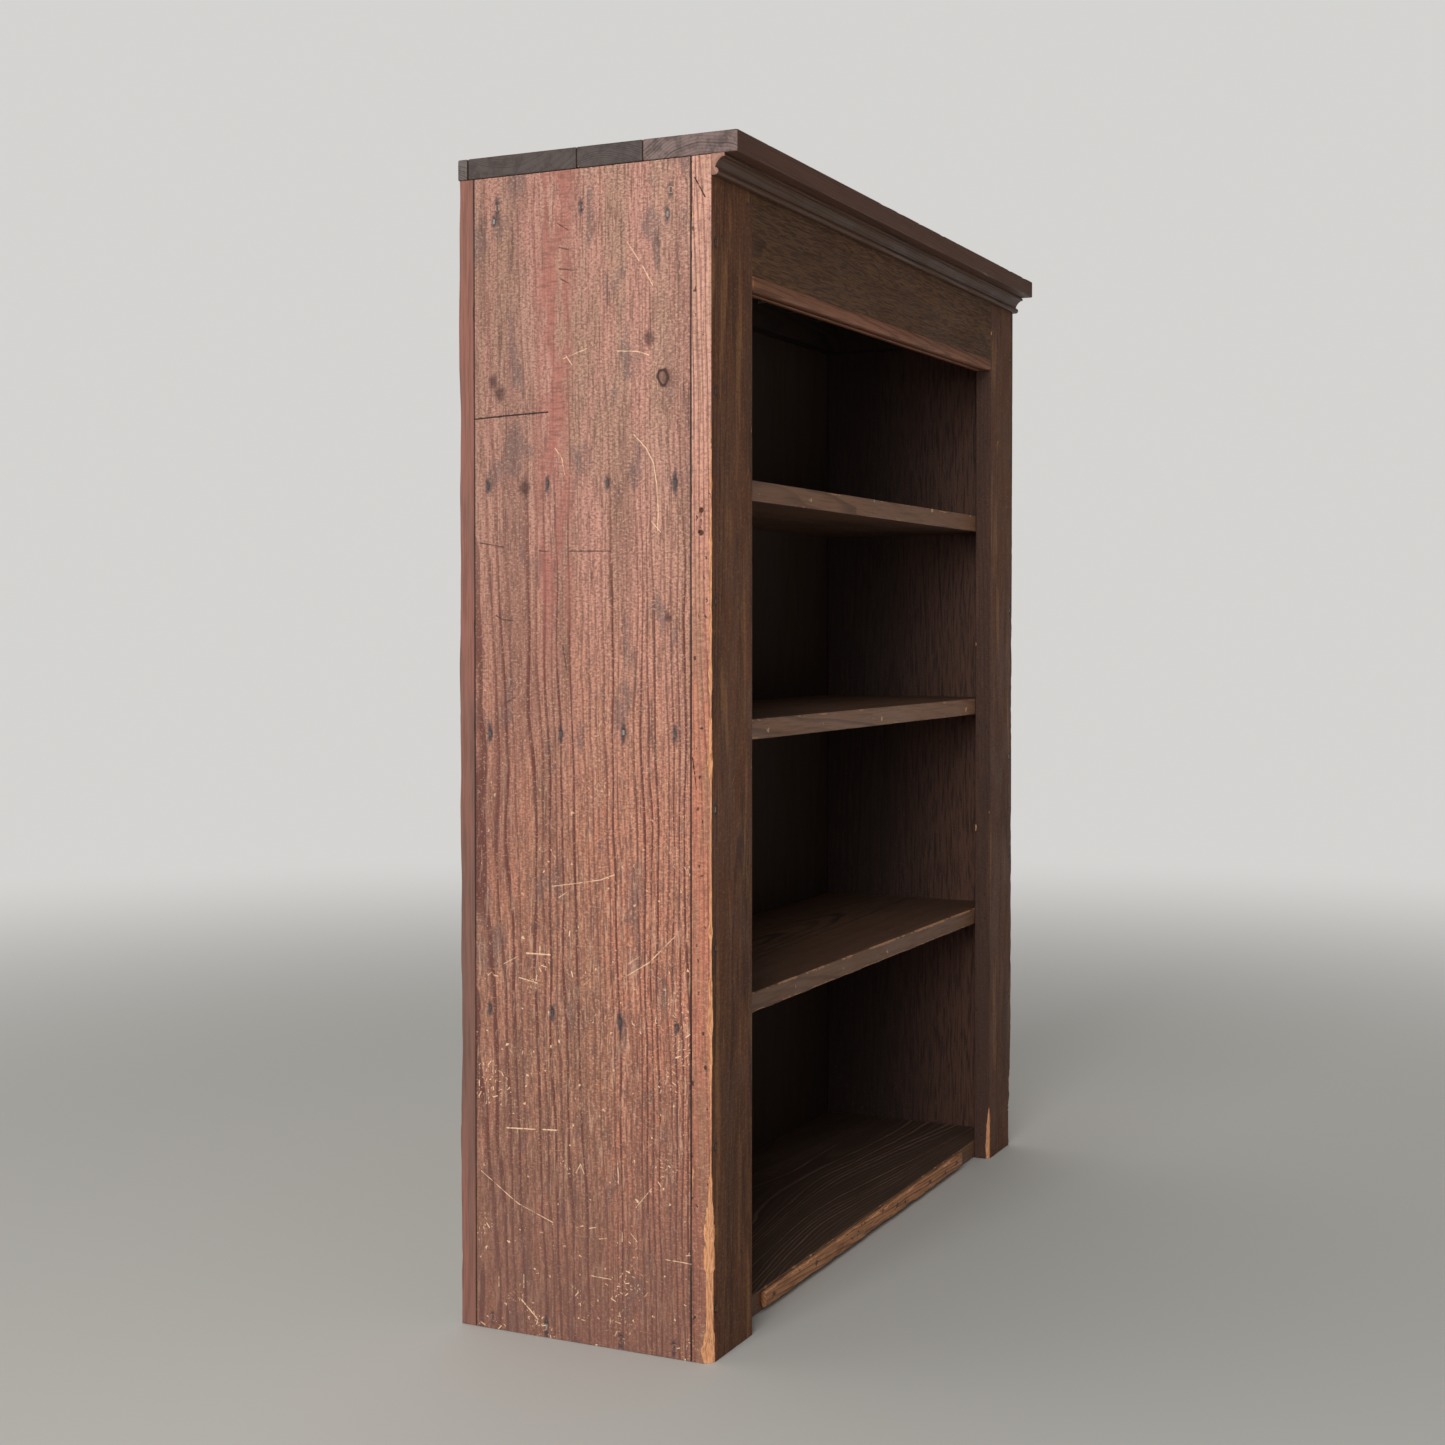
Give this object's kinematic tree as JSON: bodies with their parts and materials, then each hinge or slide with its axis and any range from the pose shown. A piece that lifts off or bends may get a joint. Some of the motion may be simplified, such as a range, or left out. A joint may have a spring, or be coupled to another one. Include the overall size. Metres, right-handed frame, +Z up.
{
  "type": "open bookcase",
  "caption": "Free-standing open-front bookcase of nailed, stained softwood boards, with a face frame, fixed shelves, a crown moulding under the top and a boarded back.",
  "frame": {"origin": "middle of the bounding box's bottom face, on the floor", "axes": "+Z up, +Y from the open front towards the back, +X to the right of someone facing the front"},
  "size_m": [1.143, 0.3728, 1.4144],
  "materials": {
    "side_boards": "worn reddish-brown stain on plain-sawn softwood, matt",
    "face_frame": "dark brown varnish, worn to raw wood on the arrises",
    "frieze_strip": "brown varnish",
    "crown": "dark grey-brown varnish",
    "top_boards": "dark brown varnish with weathered grey end grain",
    "shelves": "dark brown stain, worn along the front edges",
    "toe_strip": "raw orange-brown softwood, dented",
    "back_boards": "dull brown stain inside, unfinished and darkened by age behind",
    "cleats": "unfinished softwood, darkened by age",
    "nails": "dark oxidised iron"
  },
  "bodies": {
    "root": {"back_board_01": "back_boards", "back_board_02": "back_boards", "back_board_03": "back_boards", "back_board_04": "back_boards", "back_board_05": "back_boards", "back_board_06": "back_boards", "back_board_07": "back_boards", "back_board_08": "back_boards", "back_board_09": "back_boards", "back_board_10": "back_boards", "back_board_11": "back_boards", "back_board_nails": "nails", "bottom_board": "shelves", "crown_brads": "nails", "crown_moulding": "crown", "frieze_board": "face_frame", "frieze_bottom_strip": "frieze_strip", "frieze_strip_brads": "nails", "left_front_stile": "face_frame", "left_side_board": "side_boards", "left_side_nails": "nails", "left_top_cleat": "cleats", "rear_top_cleat": "cleats", "right_front_stile": "face_frame", "right_side_board": "side_boards", "right_side_nails": "nails", "right_top_cleat": "cleats", "shelf_lower": "shelves", "shelf_middle": "shelves", "shelf_upper": "shelves", "stile_nails": "nails", "toe_strip": "toe_strip", "toe_strip_brads": "nails", "top_back_strip": "top_boards", "top_board_front": "top_boards", "top_board_middle": "top_boards", "top_board_nails": "nails", "top_board_rear": "top_boards"}
  },
  "joints": []
}
